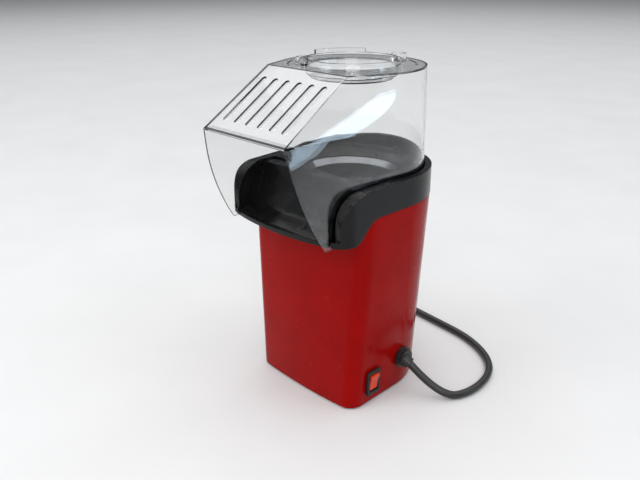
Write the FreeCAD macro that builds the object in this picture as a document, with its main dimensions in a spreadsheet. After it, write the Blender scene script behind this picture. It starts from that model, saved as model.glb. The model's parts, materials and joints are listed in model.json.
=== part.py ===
# FreeCAD macro: a hot-air popcorn maker, one parametric document, millimetres.
# +X is the side with the switch, -Y the chute, +Z up; the floor is z = 0.
import FreeCAD, Part
import math
import os
import Sketcher

os.makedirs("parts", exist_ok=True)

DIMENSIONS = {
    # chamber axis and the body shell's D-shaped plan
    "axis_back": 23.15, "wall": 2.2, "gap": 0.3,
    "body_bottom": 1.6, "body_split": 167.0, "body_top": 170.0,
    "body_half_low": 56.6, "body_half_top": 65.6,
    "body_front_low": -36.05, "body_front_top": -33.6,
    "body_bow": 480.0, "body_corner": 13.0,
    "neck_half": 62.4, "neck_bottom": 130.0, "neck_top": 177.6, "neck_front": -14.0,
    "boss_reach": 51.5, "boss_radius": 4.6, "boss_bottom": 4.9, "boss_top": 42.0,
    "boss_front": -23.2, "boss_across": 50.2, "pilot_radius": 1.4,
    # collar: skirt, ears, chute, deck and hopper round the chamber's mouth
    "collar_half": 65.7, "collar_rim": 189.5, "collar_front": -62.85, "collar_bow": 218.0,
    "collar_corner": 17.0, "collar_low": 151.0, "collar_hollow_half": 62.7,
    "sweep_high_y": -21.85, "sweep_low_y": -37.85, "sweep_high_radius": 17.0, "sweep_low_radius": 11.0,
    "ear_front": -51.8, "ear_radius": 24.0, "ear_rim_front": 187.6,
    "guard_front": -55.6, "guard_rim": 191.6, "guard_radius": 27.0, "guard_back_rise": 8.4,
    "guard_radius_in": 53.6, "chute_half": 49.2,
    "deck_level": 190.0, "deck_front": -28.3, "deck_back": -17.35,
    "hollow_top": 178.8, "hopper_low": 182.0, "hopper_high": 188.0, "mouth_radius": 41.9,
    # hood
    "hood_top": 268.0, "hood_wall": 1.6, "hood_round_top": 58.3, "hood_draft": 0.0167,
    "hood_top_front": -27.05, "hood_top_half": 42.2,
    "fold_level": 227.5, "fold_front": -88.85, "fold_half": 44.4,
    "hood_edge": 182.0, "tip_level": 149.0, "tip_front": -56.85, "tip_half": 53.3,
    "opening_radius": 36.2, "slot_pitch": 12.8, "slot_width": 4.6,
    "slot_start": 13.0, "slot_end": 62.0, "groove_out": 1.0, "groove_in": 0.5,
    # measuring cup
    "cup_radius": 35.8, "cup_wall": 1.6, "cup_bottom": 257.0, "cup_rim_radius": 38.2,
    "cup_seat": 268.1, "cup_low_rim": 272.2, "cup_grip_rim": 275.4, "cup_turn": -29.0,
    "grip_half_angle": 35.0, "lug_radius": 6.4, "lug_reach": 38.6,
    # popping chamber and its ring
    "chamber_radius": 36.5, "chamber_skin": 0.8, "chamber_bottom": 104.0, "flare_start": 176.2,
    "flare_radius": 41.4, "flare_top": 180.6, "ring_in": 39.9, "ring_out": 52.0,
    "ring_bottom": 177.0, "ring_thick": 1.6, "ring_screw_reach": 47.8,
    # heater
    "shroud_radius": 44.0, "shroud_skin": 0.8, "shroud_bottom": 78.3, "shroud_top": 175.0,
    "mica_reach": 29.6, "mica_thick": 0.8, "mica_bottom": 78.4, "mica_top": 101.0,
    "coil_radius": 31.0, "coil_pitch": 4.4, "coil_bottom": 82.0, "coil_rise": 15.4, "coil_wire": 0.5,
    # fan
    "housing_radius": 48.0, "housing_wall": 1.6, "housing_bottom": 50.0, "housing_top": 76.0,
    "impeller_radius": 42.0, "impeller_bottom": 54.2, "blade_rise": 15.0, "blade_thick": 1.2,
    "motor_radius": 13.85, "motor_bottom": 12.0, "motor_top": 49.8, "shaft_radius": 1.0,
    "bearing_clearance": 0.05, "shaft_bottom": 8.0, "shaft_top": 67.0,
    "post_reach": 43.8, "post_radius": 4.0,
    # base
    "base_bottom": 2.0, "base_thick": 2.6, "base_half": 53.9, "foot_radius": 6.0,
    "foot_x": 36.0, "foot_front": -20.0, "foot_back": 55.0,
    # switch
    "switch_x": 58.6, "switch_y": -10.35, "switch_z": 20.7, "switch_wide": 15.0, "switch_tall": 21.4,
    "switch_rim": 1.9, "switch_depth": 16.0, "rocker_wide": 9.6, "rocker_tall": 15.6,
    # cord and plug
    "gland_x": 58.6, "gland_y": 26.45, "gland_z": 28.4, "gland_reach": 7.0, "cord_diameter": 6.5,
    "coil_x": -90.0, "coil_y": 104.0, "coil_mid": 36.0, "coil_wide": 13.6, "coil_tall": 12.6, "coil_lift": 0.9,
    "plug_x": -128.0, "plug_z": 12.4, "plug_wide": 36.0, "plug_tall": 24.0, "pin_radius": 2.4,
    "pin_length": 19.0, "pin_pitch": 19.0, "lead_diameter": 2.2,
}

doc = FreeCAD.newDocument("popcorn_maker")
sheet = doc.addObject("Spreadsheet::Sheet", "P")
for row, (alias, value) in enumerate(DIMENSIONS.items(), start=1):
    sheet.set(f"A{row}", alias)
    sheet.set(f"B{row}", str(value))
    sheet.setAlias(f"B{row}", alias)
doc.recompute()

AXIS = "P.axis_back"
nodes = []


def flat(u, v):
    """Point in a sketch's own plane."""
    return FreeCAD.Vector(u, v, 0)


def bind(obj, **expressions):
    """Bind properties; a double underscore in a name stands for a dot."""
    for prop, expression in expressions.items():
        obj.setExpression(prop.replace("__", "."), str(expression))
    return obj


def place(obj, across="0", back="0", up="0", turn=None):
    """Put an object at three expressions, turned by a fixed rotation."""
    if turn:
        obj.Placement.Rotation = turn
    return bind(obj, Placement__Base__x=across, Placement__Base__y=back, Placement__Base__z=up)


TURNS = {
    "XY": FreeCAD.Rotation(),
    "YZ": FreeCAD.Rotation(FreeCAD.Vector(1, 1, 1), 120),
    "XZ": FreeCAD.Rotation(FreeCAD.Vector(1, 0, 0), 90),
}
ALONG_X = FreeCAD.Rotation(FreeCAD.Vector(0, 1, 0), 90)
ALONG_Y = FreeCAD.Rotation(FreeCAD.Vector(1, 0, 0), -90)


def sketch(name, plane, level):
    """Empty sketch on a plane, level out along the plane's normal axis."""
    new = doc.addObject("Sketcher::SketchObject", name)
    axis = {"XY": "up", "YZ": "across", "XZ": "back"}[plane]
    return place(new, turn=TURNS[plane], **{axis: level})


def fix(sk, kind, expression, *where):
    """Add a dimension bound to an expression."""
    value = float(sk.evalExpression(str(expression)))
    if kind in ("DistanceX", "DistanceY") and abs(value) < 1e-9:
        axis = -2 if kind == "DistanceX" else -1
        sk.addConstraint(Sketcher.Constraint("PointOnObject", *where[-2:], axis))
        return
    index = sk.addConstraint(Sketcher.Constraint(kind, *where, value))
    sk.setExpression(f"Constraints[{index}]", str(expression))


def fix_point(sk, across, up, geometry, spot):
    """Place one point of a geometry by its two coordinates."""
    fix(sk, "DistanceX", across, -1, 1, geometry, spot)
    fix(sk, "DistanceY", up, -1, 1, geometry, spot)


def arc(sk, centre, radius, start, end):
    """Arc drawn anticlockwise between two angles in radians."""
    circle = Part.Circle(flat(*centre), FreeCAD.Vector(0, 0, 1), radius)
    return sk.addGeometry(Part.ArcOfCircle(circle, start, end))


def tangent(sk, first, first_end, second, second_end):
    """Join two ends smoothly."""
    sk.addConstraint(Sketcher.Constraint("Tangent", first, first_end, second, second_end))


def corner_trim(before, here, after, radius):
    """Where a rounded corner's arc starts and ends, and its centre."""
    incoming = (flat(*here) - flat(*before)).normalize()
    outgoing = (flat(*after) - flat(*here)).normalize()
    half_turn = incoming.getAngle(outgoing) / 2
    back = radius * math.tan(half_turn)
    bisector = (outgoing - incoming).normalize()
    centre = flat(*here) + bisector * (radius / math.cos(half_turn))
    return flat(*here) - incoming * back, flat(*here) + outgoing * back, centre


def outline(name, plane, corners, level="0"):
    """Closed outline through corners given as (across, up) or (across, up, radius)."""
    sk = sketch(name, plane, level)
    points = [tuple(float(sk.evalExpression(str(part))) for part in corner) for corner in corners]
    count = len(points)
    trims = []
    for index, point in enumerate(points):
        here = point[:2]
        if len(point) > 2:
            after = points[(index + 1) % count][:2]
            trims.append(corner_trim(points[index - 1][:2], here, after, point[2]))
        else:
            trims.append((flat(*here), flat(*here), None))
    lines = []
    for index in range(count):
        ends = (trims[index][1], trims[(index + 1) % count][0])
        lines.append(sk.addGeometry(Part.LineSegment(*ends)))
    for index, corner in enumerate(corners):
        incoming, outgoing = lines[index - 1], lines[index]
        start, end, centre = trims[index]
        if centre is None:
            sk.addConstraint(Sketcher.Constraint("Coincident", incoming, 2, outgoing, 1))
            fix_point(sk, corner[0], corner[1], outgoing, 1)
            continue
        from_angle = math.atan2(*(start - centre)[1::-1])
        to_angle = math.atan2(*(end - centre)[1::-1])
        left_turn = (start - centre).cross(end - centre).z > 0
        if left_turn:
            bend = arc(sk, centre[:2], points[index][2], from_angle, to_angle)
        else:
            bend = arc(sk, centre[:2], points[index][2], to_angle, from_angle)
        first, last = (1, 2) if left_turn else (2, 1)
        tangent(sk, incoming, 2, bend, first)
        tangent(sk, bend, last, outgoing, 1)
        fix(sk, "Radius", corner[2], bend)
        apex = sk.addGeometry(Part.Point(flat(*points[index][:2])), True)
        fix_point(sk, corner[0], corner[1], apex, 1)
        sk.addConstraint(Sketcher.Constraint("PointOnObject", apex, 1, incoming))
        sk.addConstraint(Sketcher.Constraint("PointOnObject", apex, 1, outgoing))
    return sk


def d_plan(name, level, half, front, bow, corner):
    """D-shaped plan: back half-round about the chamber's axis, straight sides, bowed front."""
    sk = sketch(name, "XY", level)
    axis, half_v, front_v, bow_v, corner_v = (
        float(sk.evalExpression(str(e))) for e in (AXIS, half, front, bow, corner))
    bow_y = front_v + bow_v
    corner_x = half_v - corner_v
    corner_y = bow_y - math.sqrt((bow_v - corner_v) ** 2 - corner_x ** 2)
    meet = math.atan2(corner_y - bow_y, corner_x)
    back = arc(sk, (0, axis), half_v, 0, math.pi)
    left = sk.addGeometry(Part.LineSegment(flat(-half_v, axis), flat(-half_v, corner_y)))
    left_corner = arc(sk, (-corner_x, corner_y), corner_v, math.pi, math.pi - meet)
    bowed = arc(sk, (0, bow_y), bow_v, math.pi - meet, math.tau + meet)
    right_corner = arc(sk, (corner_x, corner_y), corner_v, meet, 0)
    right = sk.addGeometry(Part.LineSegment(flat(half_v, corner_y), flat(half_v, axis)))
    loop = [back, left, left_corner, bowed, right_corner, right]
    for first, second in zip(loop, loop[1:] + loop[:1]):
        tangent(sk, first, 2, second, 1)
    for side in (left, right):
        sk.addConstraint(Sketcher.Constraint("Vertical", side))
    fix_point(sk, "0", AXIS, back, 3)
    fix(sk, "Radius", half, back)
    fix_point(sk, "0", f"{front} + {bow}", bowed, 3)
    fix(sk, "Radius", bow, bowed)
    fix(sk, "Radius", corner, left_corner)
    fix(sk, "Radius", corner, right_corner)
    return sk


def hood_plan(name, level, radius, half, front):
    """Plan of the hood: round back about the chamber's axis, sides that run in to a flat front."""
    sk = sketch(name, "XY", level)
    axis, radius_v, half_v, front_v = (
        float(sk.evalExpression(str(e))) for e in (AXIS, radius, half, front))
    reach = math.hypot(half_v, front_v - axis)
    angle = math.atan2(front_v - axis, half_v) + math.acos(radius_v / reach)
    touch = (radius_v * math.cos(angle), axis + radius_v * math.sin(angle))
    back = arc(sk, (0, axis), radius_v, angle, math.pi - angle)
    left = sk.addGeometry(Part.LineSegment(flat(-touch[0], touch[1]), flat(-half_v, front_v)))
    flat_front = sk.addGeometry(Part.LineSegment(flat(-half_v, front_v), flat(half_v, front_v)))
    right = sk.addGeometry(Part.LineSegment(flat(half_v, front_v), flat(*touch)))
    tangent(sk, back, 2, left, 1)
    tangent(sk, right, 2, back, 1)
    sk.addConstraint(Sketcher.Constraint("Coincident", left, 2, flat_front, 1))
    sk.addConstraint(Sketcher.Constraint("Coincident", flat_front, 2, right, 1))
    fix_point(sk, "0", AXIS, back, 3)
    fix(sk, "Radius", radius, back)
    fix_point(sk, f"-({half})", front, flat_front, 1)
    fix_point(sk, half, front, flat_front, 2)
    return sk


def extrude(name, base, length, symmetric=False):
    """Prism from a closed sketch along its normal."""
    new = doc.addObject("Part::Extrusion", name)
    new.Base = base
    new.DirMode = "Normal"
    new.Solid = True
    new.Symmetric = symmetric
    return bind(new, LengthFwd=length)


def turn_profile(name, corners, back=AXIS, across="0"):
    """Solid of revolution about an upright axis, from corners given as (radius, up)."""
    profile = outline(name + "_profile", "XZ", corners, back)
    bind(profile, Placement__Base__x=across)
    new = doc.addObject("Part::Revolution", name)
    new.Source = profile
    new.Axis = FreeCAD.Vector(0, 0, 1)
    new.Angle = 360
    new.Solid = True
    return bind(new, Base__x=across, Base__y=back)


def loft(name, sections):
    """Smooth solid through sections."""
    new = doc.addObject("Part::Loft", name)
    new.Sections = sections
    new.Solid = True
    return new


def cylinder(name, radius, height, across="0", back=AXIS, up="0", turn=None):
    """Upright cylinder, or turned one, from the middle of its first face."""
    new = doc.addObject("Part::Cylinder", name)
    bind(new, Radius=radius, Height=height)
    return place(new, across, back, up, turn)


def box(name, length, width, height, across, back, up):
    """Box by its size and its lowest corner."""
    new = doc.addObject("Part::Box", name)
    bind(new, Length=length, Width=width, Height=height)
    return place(new, across, back, up)


def join(name, parts):
    """One solid from several that overlap."""
    new = doc.addObject("Part::MultiFuse", name)
    new.Shapes = parts
    new.Refine = False
    return new


def cut(name, base, tools):
    """Base with every tool taken away."""
    new = doc.addObject("Part::Cut", name)
    new.Base = base
    new.Tool = tools[0] if len(tools) == 1 else join(name + "_tools", tools)
    return new


def group(name, parts):
    """Separate solids kept together."""
    new = doc.addObject("Part::Compound", name)
    new.Links = parts
    return new


def overlap(name, parts):
    """Only what all parts share."""
    new = doc.addObject("Part::MultiCommon", name)
    new.Shapes = parts
    return new


def node(label, obj):
    """Name a finished sub-part for export."""
    obj.Label = label
    nodes.append(obj)
    return obj


def around(reach, degrees):
    """Expressions for a place round the chamber's axis."""
    angle = math.radians(degrees)
    return f"({reach}) * {math.cos(angle):.9f}", f"{AXIS} + ({reach}) * {math.sin(angle):.9f}"


# --- body shell -------------------------------------------------------------------------------
def side_sweep(name, drop="0"):
    """Side view of everything under the collar's edge: high at the back, swept down to the front."""
    high, low = f"P.body_split - {drop}", f"P.collar_low - {drop}"
    return outline(name, "YZ", [
        ("-110", "-20"), ("120", "-20"), ("120", high),
        ("P.sweep_high_y", high, "P.sweep_high_radius"),
        ("P.sweep_low_y", low, "P.sweep_low_radius"),
        ("-110", low)])


def shell_form(name, inset):
    """Tapered D-shaped form of the body, inset by a wall."""
    low = d_plan(name + "_low", "P.body_bottom" if inset == "0" else "P.body_bottom - 1",
                 f"P.body_half_low - {inset}", f"P.body_front_low + {inset}",
                 f"P.body_bow - {inset}", f"P.body_corner - {inset}")
    top = d_plan(name + "_high", "P.body_top" if inset == "0" else "P.body_top + 1",
                 f"P.body_half_top - {inset}", f"P.body_front_top + {inset}",
                 f"P.body_bow - {inset}", f"P.body_corner - {inset}")
    return loft(name, [low, top])


boss_spots = [("P.boss_across", "P.boss_front"), ("-P.boss_across", "P.boss_front"),
              around("P.boss_reach", 58), around("P.boss_reach", 122)]


def shell_screws(name, radius, low, high):
    """One upright cylinder at each of the body's four screw places."""
    return [cylinder(f"{name}_{index}", radius, f"{high} - ({low})", across, back, low)
            for index, (across, back) in enumerate(boss_spots)]


def make_body_shell():
    outside = cut("shell_outside", shell_form("shell_outer", "0"), [shell_form("shell_inner", "P.wall")])
    neck_out = extrude("neck_outer", d_plan("neck_plan", "P.neck_bottom", "P.neck_half",
                                            "P.body_front_top + 3", "P.body_bow", "P.body_corner"),
                       "P.neck_top - P.neck_bottom")
    neck_in = extrude("neck_inner", d_plan("neck_hole_plan", "P.neck_bottom - 1", "P.neck_half - P.wall",
                                           "P.body_front_top + 3 + P.wall", "P.body_bow",
                                           "P.body_corner - P.wall"),
                      "P.neck_top - P.neck_bottom + 2")
    neck_cut = box("neck_front_cut", "140", "100", "80", "-70", "P.neck_front - 100", "P.neck_bottom - 1")
    neck = cut("neck", neck_out, [neck_in, neck_cut])
    swept = overlap("shell_swept", [outside, extrude("shell_limit", side_sweep("shell_sweep", "P.gap"),
                                                     "200", symmetric=True)])
    bosses = shell_screws("boss", "P.boss_radius", "P.boss_bottom", "P.boss_top")
    pilots = shell_screws("boss_pilot", "P.pilot_radius", "P.boss_bottom - 1", "P.boss_top - 6")
    switch_hole = box("switch_hole", "12", "P.switch_wide - 1.6", "P.switch_tall - 1.6",
                      "P.switch_x - 7", "P.switch_y - P.switch_wide / 2 + 0.8",
                      "P.switch_z - P.switch_tall / 2 + 0.8")
    gland_hole = cylinder("gland_hole", "4.9", "16", "P.gland_x - 8", "P.gland_y", "P.gland_z", ALONG_X)
    whole = join("shell_whole", [swept, neck] + bosses)
    return node("body_shell", cut("body_shell", whole, pilots + [switch_hole, gland_hole]))


# --- base ---------------------------------------------------------------------------------------
foot_spots = [(f"{side} * P.foot_x", back) for side in (1, -1) for back in ("P.foot_front", "P.foot_back")]
post_spots = [around("P.post_reach", degrees) for degrees in (90, 200, 270, 340)]


def make_base():
    plate = extrude("plate", d_plan("plate_plan", "P.base_bottom", "P.base_half",
                                    "P.body_front_low + P.wall + 0.5", "P.body_bow",
                                    "P.body_corner - P.wall"), "P.base_thick")
    posts = [cylinder(f"post_{index}", "P.post_radius", "P.housing_bottom - P.base_bottom - 2.2",
                      across, back, "P.base_bottom + 2")
             for index, (across, back) in enumerate(post_spots)]
    slots = []
    for index in range(7):
        lateral = (index - 3) * 7
        length = 2 * math.sqrt(31 ** 2 - lateral ** 2)
        slots.append(box(f"vent_{index}", "3.2", f"{length:.3f}", "10", f"{lateral} - 1.6",
                         f"{AXIS} - {length / 2:.3f}", "-1"))
    screw_holes = shell_screws("plate_screw_hole", "1.7", "0", "P.boss_bottom")
    foot_holes = [cylinder(f"foot_hole_{index}", "3.1", "10", across, back, "-1")
                  for index, (across, back) in enumerate(foot_spots)]
    node("base_plate", cut("base_plate", join("plate_whole", [plate] + posts),
                           slots + screw_holes + foot_holes))
    top = "P.base_bottom + P.base_thick"
    feet = [turn_profile(f"foot_{index}", [
        ("0", "0"), ("P.foot_radius - 0.8", "0"), ("P.foot_radius", "1"),
        ("P.foot_radius", "P.base_bottom"), ("3", "P.base_bottom"), ("3", top), ("3.7", f"{top} + 0.3"),
        ("2.4", f"{top} + 1.8"), ("0", f"{top} + 1.8")], back, across)
        for index, (across, back) in enumerate(foot_spots)]
    node("feet", group("feet", feet))
    screws = []
    for index, (across, back) in enumerate(boss_spots):
        screw = turn_profile(f"base_screw_{index}", [
            ("0", "1"), ("0.8", "0.6"), ("2.2", "0.6"), ("2.9", "1.2"), ("2.9", "P.base_bottom"),
            ("P.pilot_radius - 0.05", "P.base_bottom"), ("P.pilot_radius - 0.05", "26"), ("0", "28")],
            back, across)
        screws.append(screw)
    node("base_screws", group("base_screws", screws))


# --- collar: skirt, ears, chute and hopper ----------------------------------------------------------
hood_stations = [  # share of the way down from the fold to the tip, front edge, half width
    ("0", "P.fold_front", "P.fold_half"),
    ("0.2", "P.fold_front + 3.6", "P.fold_half + 3.0"),
    ("0.4", "P.fold_front + 8.0", "P.fold_half + 5.2"),
    ("0.6", "P.fold_front + 14.1", "P.fold_half + 6.8"),
    ("0.8", "P.fold_front + 22.0", "P.fold_half + 8.2"),
    ("1", "P.tip_front", "P.tip_half"),
]


def hood_lower(name, grow, reach):
    """Lower half of the hood's form, grown by a distance, its front moved out by reach."""
    sections = []
    for index, (share, front, half) in enumerate(hood_stations):
        level = f"P.fold_level - {share} * (P.fold_level - P.tip_level + 3)"
        radius = f"P.hood_round_top + ({grow}) + P.hood_draft * (P.hood_top - ({level}))"
        sections.append(hood_plan(f"{name}_{index}", level, radius,
                                  f"{half} + ({grow}) * 1.03 - 0.1 * ({reach})", f"{front} - ({reach})"))
    return loft(name, sections)


def hood_upper(name, inset):
    """Upper half of the hood's form under the slanted panel, inset by a wall."""
    sections = []
    for index in range(3):
        level = f"P.fold_level + {index / 2} * (P.hood_top - ({inset}) - P.fold_level)"
        share = f"((P.hood_top - ({level})) / (P.hood_top - P.fold_level))"
        front = f"P.hood_top_front + {share} * (P.fold_front - P.hood_top_front) + ({inset}) * 1.82"
        half = f"P.hood_top_half + {share} * (P.fold_half - P.hood_top_half) - ({inset}) * 1.06"
        radius = f"P.hood_round_top - ({inset}) + P.hood_draft * (P.hood_top - ({level}))"
        sections.append(hood_plan(f"{name}_{index}", level, radius, half, front))
    return loft(name, sections)


def make_collar():
    block = extrude("collar_block", d_plan("collar_plan", "140", "P.collar_half", "P.collar_front",
                                           "P.collar_bow", "P.collar_corner"), "70")
    under = extrude("collar_under", side_sweep("collar_sweep"), "200", symmetric=True)
    # side view of everything inside the groove: the guard's arch and its rise to the back
    guard = extrude("guard", outline("guard_view", "YZ", [
        ("110", "100"), ("110", "P.guard_rim + P.guard_back_rise * 110 / 76"), ("0", "P.guard_rim"),
        ("P.guard_front", "P.guard_rim", "P.guard_radius"),
        ("P.guard_front", "P.collar_low + 4.5"), ("-110", "P.collar_low + 4.5"), ("-110", "100")]),
        "200", symmetric=True)
    ears = extrude("ears", outline("ear_view", "YZ", [
        ("110", "100"), ("110", "P.collar_rim"), ("0", "P.collar_rim"),
        ("P.ear_front", "P.ear_rim_front", "P.ear_radius"),
        ("P.ear_front", "P.collar_low + 3"), ("-110", "P.collar_low + 3"), ("-110", "100")]),
        "200", symmetric=True)
    inside = join("inside_groove", [hood_lower("groove_inside", "-P.hood_wall - P.groove_in", "6"),
                                    box("inside_front", "P.chute_half * 2 + 3.2", "30", "60",
                                        "-P.chute_half - 1.6", "-80", "140")])
    inner = overlap("collar_inner", [block, guard, inside])
    groove = hood_lower("groove_outside", "P.groove_out", "6")
    outer = cut("collar_outer", overlap("collar_ears", [block, ears]), [groove])
    groove_floor = extrude("groove_floor", outline("groove_floor_view", "YZ", [
        ("110", "100"), ("110", "P.hood_edge - 1"), ("-27.5", "P.hood_edge - 1"),
        ("P.tip_front + 5.5", "P.tip_level + 2.4"), ("P.tip_front + 5.5", "100")]), "200", symmetric=True)
    web = overlap("collar_web", [block, groove_floor])
    lip_band = overlap("lip_band", [block, box("lip_level", "200", "60", "4.5", "-100", "-110",
                                               "P.collar_low")])
    lip = cut("collar_lip", lip_band, [cut("open_groove", groove, [inside])])
    body = join("collar_body", [inner, outer, web, lip])
    chute = extrude("chute_cut", outline("chute_view", "YZ", [
        ("P.deck_front", "230"), ("P.deck_front", "P.deck_level"), ("P.deck_front - 2.6", "176.5", "20"),
        ("P.deck_front - 11", "157.5", "6"), ("P.collar_front + 4.5", "153.2"),
        ("P.collar_front + 4.5", "P.collar_low + 3.4"), ("-110", "P.collar_low + 3.4"), ("-110", "230")]),
        "P.chute_half * 2", symmetric=True)
    deck = box("deck_cut", "P.chute_half * 2", "P.deck_back - P.deck_front + 2", "30",
               "-P.chute_half", "P.deck_front - 1", "P.deck_level")
    hopper = turn_profile("hopper_form", [
        ("0", "P.hollow_top - 1"), ("P.mouth_radius", "P.hollow_top - 1"), ("P.mouth_radius", "P.hopper_low"),
        ("P.guard_radius_in - 1", "P.hopper_high"), ("P.guard_radius_in", "P.hopper_high + 2"),
        ("P.guard_radius_in", "230"), ("0", "230")])
    behind_deck = box("behind_deck", "140", "140", "120", "-70", "P.deck_back", "150")
    hopper_cut = overlap("hopper_cut", [hopper, behind_deck])
    mouth = cylinder("mouth_cut", "P.mouth_radius", "P.hopper_low - P.hollow_top + 1",
                     up="P.hollow_top - 1")
    hollow = extrude("collar_hollow", d_plan("collar_hollow_plan", "130", "P.collar_hollow_half",
                                             "P.body_front_top + 4", "P.body_bow", "P.body_corner"),
                     "P.hollow_top - 130")
    pilots = [cylinder(f"ring_pilot_{index}", "P.pilot_radius", "6", *around("P.ring_screw_reach", degrees),
                       "P.hollow_top - 1.5")
              for index, degrees in enumerate((30, 150, 270))]
    node("collar", cut("collar", body, [under, chute, deck, hopper_cut, mouth, hollow] + pilots))


# --- hood and measuring cup ------------------------------------------------------------------------
def make_hood():
    outside = join("hood_outside", [hood_upper("hood_up", "0"), hood_lower("hood_low", "0", "0")])
    hollow_low = hood_lower("hood_low_inside", "-P.hood_wall", "6")
    low_limit = box("hood_low_limit", "200", "300", "P.fold_level - 100 - 1.2", "-100", "-150", "100")
    back_limit = box("hood_back_limit", "200", "200", "20", "-100", "P.fold_front + 9", "P.fold_level - 10")
    open_low = overlap("hood_open_low", [hollow_low, join("hood_limits", [low_limit, back_limit])])
    edge = extrude("hood_edge", outline("hood_edge_view", "YZ", [
        ("-110", "100"), ("110", "100"), ("110", "P.hood_edge"), ("-27.5", "P.hood_edge"),
        ("P.tip_front + 5.5", "P.tip_level + 3.6"), ("P.tip_front + 2.2", "P.tip_level", "1.6"),
        ("-110", "P.tip_level - 0.5")]), "200", symmetric=True)
    opening = cylinder("hood_opening", "P.opening_radius", "30", up="P.hood_top - 15")
    panel_tilt = math.degrees(math.atan2(40.5, 61.8))
    slots = []
    for index in range(6):
        lateral = f"{index - 2.5} * P.slot_pitch"
        bar = doc.addObject("Part::Box", f"slot_bar_{index}")
        bind(bar, Length="P.slot_width", Width="P.slot_end - P.slot_start - P.slot_width", Height="20")
        ends = [doc.addObject("Part::Cylinder", f"slot_end_{index}_{end}") for end in range(2)]
        for end in ends:
            bind(end, Radius="P.slot_width / 2", Height="20")
        place(bar, "-P.slot_width / 2", "-P.slot_end + P.slot_width / 2", "-10")
        place(ends[0], "0", "-P.slot_end + P.slot_width / 2", "-10")
        place(ends[1], "0", "-P.slot_start - P.slot_width / 2", "-10")
        slot = join(f"slot_{index}", [bar] + ends)
        tilt = FreeCAD.Rotation(FreeCAD.Vector(1, 0, 0), panel_tilt)
        slots.append(place(slot, lateral, "P.hood_top_front", "P.hood_top", tilt))
    node("hood", cut("hood", outside, [hood_upper("hood_up_inside", "P.hood_wall"), open_low, edge, opening]
                     + slots))


def make_cup():
    bowl = turn_profile("cup_bowl", [
        ("0", "P.cup_bottom"), ("P.cup_radius - 3", "P.cup_bottom"), ("P.cup_radius", "P.cup_bottom + 3"),
        ("P.cup_radius", "P.cup_seat"), ("P.cup_rim_radius", "P.cup_seat"),
        ("P.cup_rim_radius", "P.cup_low_rim"), ("P.cup_radius - P.cup_wall", "P.cup_low_rim"),
        ("P.cup_radius - P.cup_wall", "P.cup_bottom + 3.6"),
        ("P.cup_radius - P.cup_wall - 2.2", "P.cup_bottom + P.cup_wall"), ("0", "P.cup_bottom + P.cup_wall")])
    ring = cut("grip_ring", cylinder("grip_out", "P.cup_rim_radius", "P.cup_grip_rim - P.cup_seat",
                                     up="P.cup_seat"),
               [cylinder("grip_in", "P.cup_rim_radius - P.cup_wall", "20", up="P.cup_seat - 2")])
    wedges = []
    for side in (0, 180):
        wedge = doc.addObject("Part::Cylinder", f"grip_wedge_{side}")
        bind(wedge, Radius="60", Height="20", Angle="2 * P.grip_half_angle")
        place(wedge, up="P.cup_seat")
        turned = doc.addObject("Part::Compound", f"grip_sector_{side}")
        turned.Links = [wedge]
        turned.Placement.Rotation = FreeCAD.Rotation(FreeCAD.Vector(0, 0, 1), side)
        bind(turned, Placement__Base__y=AXIS)
        bind(turned, Placement__Rotation__Angle=f"{side} + P.cup_turn - P.grip_half_angle")
        wedges.append(turned)
    grips = overlap("grips", [ring, join("grip_sectors", wedges)])
    lugs = []
    for side in (61, 241):
        spot = around("P.lug_reach", side)
        outer = cylinder(f"lug_out_{side}", "P.lug_radius", "P.cup_grip_rim - P.cup_seat - 1", *spot,
                         "P.cup_seat")
        inner = cylinder(f"lug_in_{side}", "P.lug_radius - 1.8", "20", *spot, "P.cup_seat + 1.6")
        core = cylinder(f"lug_core_{side}", "P.cup_radius - P.cup_wall / 2", "40", up="P.cup_seat - 5")
        lugs.append(cut(f"lug_{side}", outer, [inner, core]))
    node("measuring_cup", join("measuring_cup", [bowl, grips] + lugs))


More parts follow.
